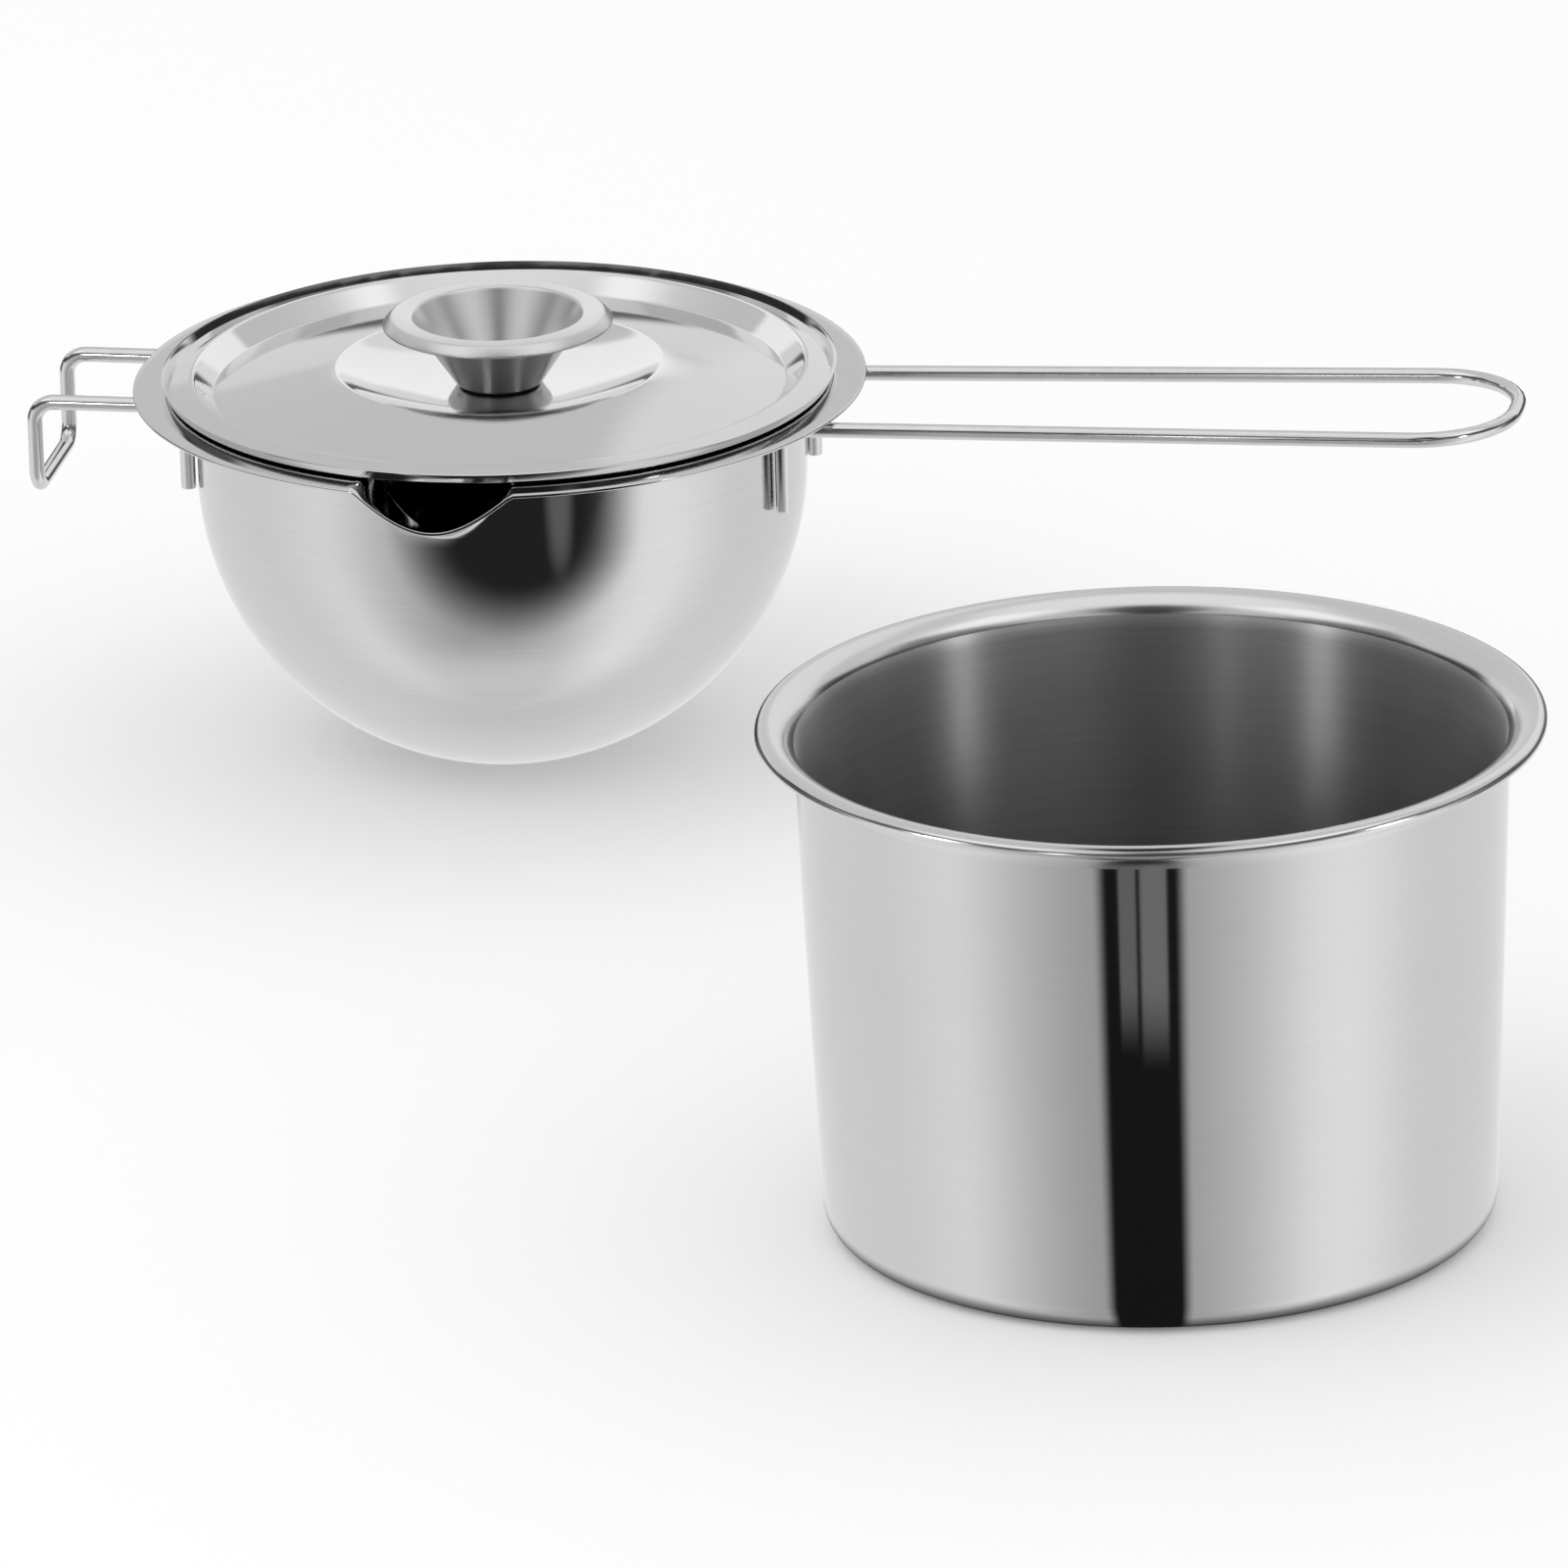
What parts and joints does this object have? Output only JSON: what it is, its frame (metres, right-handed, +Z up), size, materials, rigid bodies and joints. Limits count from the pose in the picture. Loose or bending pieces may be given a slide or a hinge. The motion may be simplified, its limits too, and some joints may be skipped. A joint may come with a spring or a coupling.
{
  "type": "melting pot",
  "caption": "Steel melting pot set: a flared water pot, and a round-bottomed bowl with pour spouts, wire loop handle, wire rim hook and a knobbed lid.",
  "frame": {"origin": "middle of the water pot's flat base, on the surface that the set stands on", "axes": "+Z up, +X along the bowl's wire handle away from the bowl, +Y from the water pot towards the side where the bowl stands"},
  "size_m": [0.335, 0.393, 0.0975],
  "materials": {
    "pot_steel": "bright satin outside, brushed inside",
    "bowl_steel": "fine satin",
    "wire_steel": "polished round wire",
    "lid_steel": "near-mirror polish, turned rings",
    "knob_steel": "satin cup, brushed cone"
  },
  "bodies": {
    "outer_pot": {"outer_pot": "pot_steel"},
    "melting_bowl": {"melting_bowl": "bowl_steel", "handle_wire": "wire_steel", "hook_wire": "wire_steel"},
    "lid": {"lid": "lid_steel", "lid_knob": "knob_steel"}
  },
  "joints": [
    {"name": "bowl_lift", "type": "slide", "parent": "outer_pot", "child": "melting_bowl", "axis": [0, 0, 1], "range_m": [0, 0.15]},
    {"name": "lid_lift", "type": "slide", "parent": "melting_bowl", "child": "lid", "axis": [0, 0, 1], "range_m": [0, 0.1]}
  ]
}
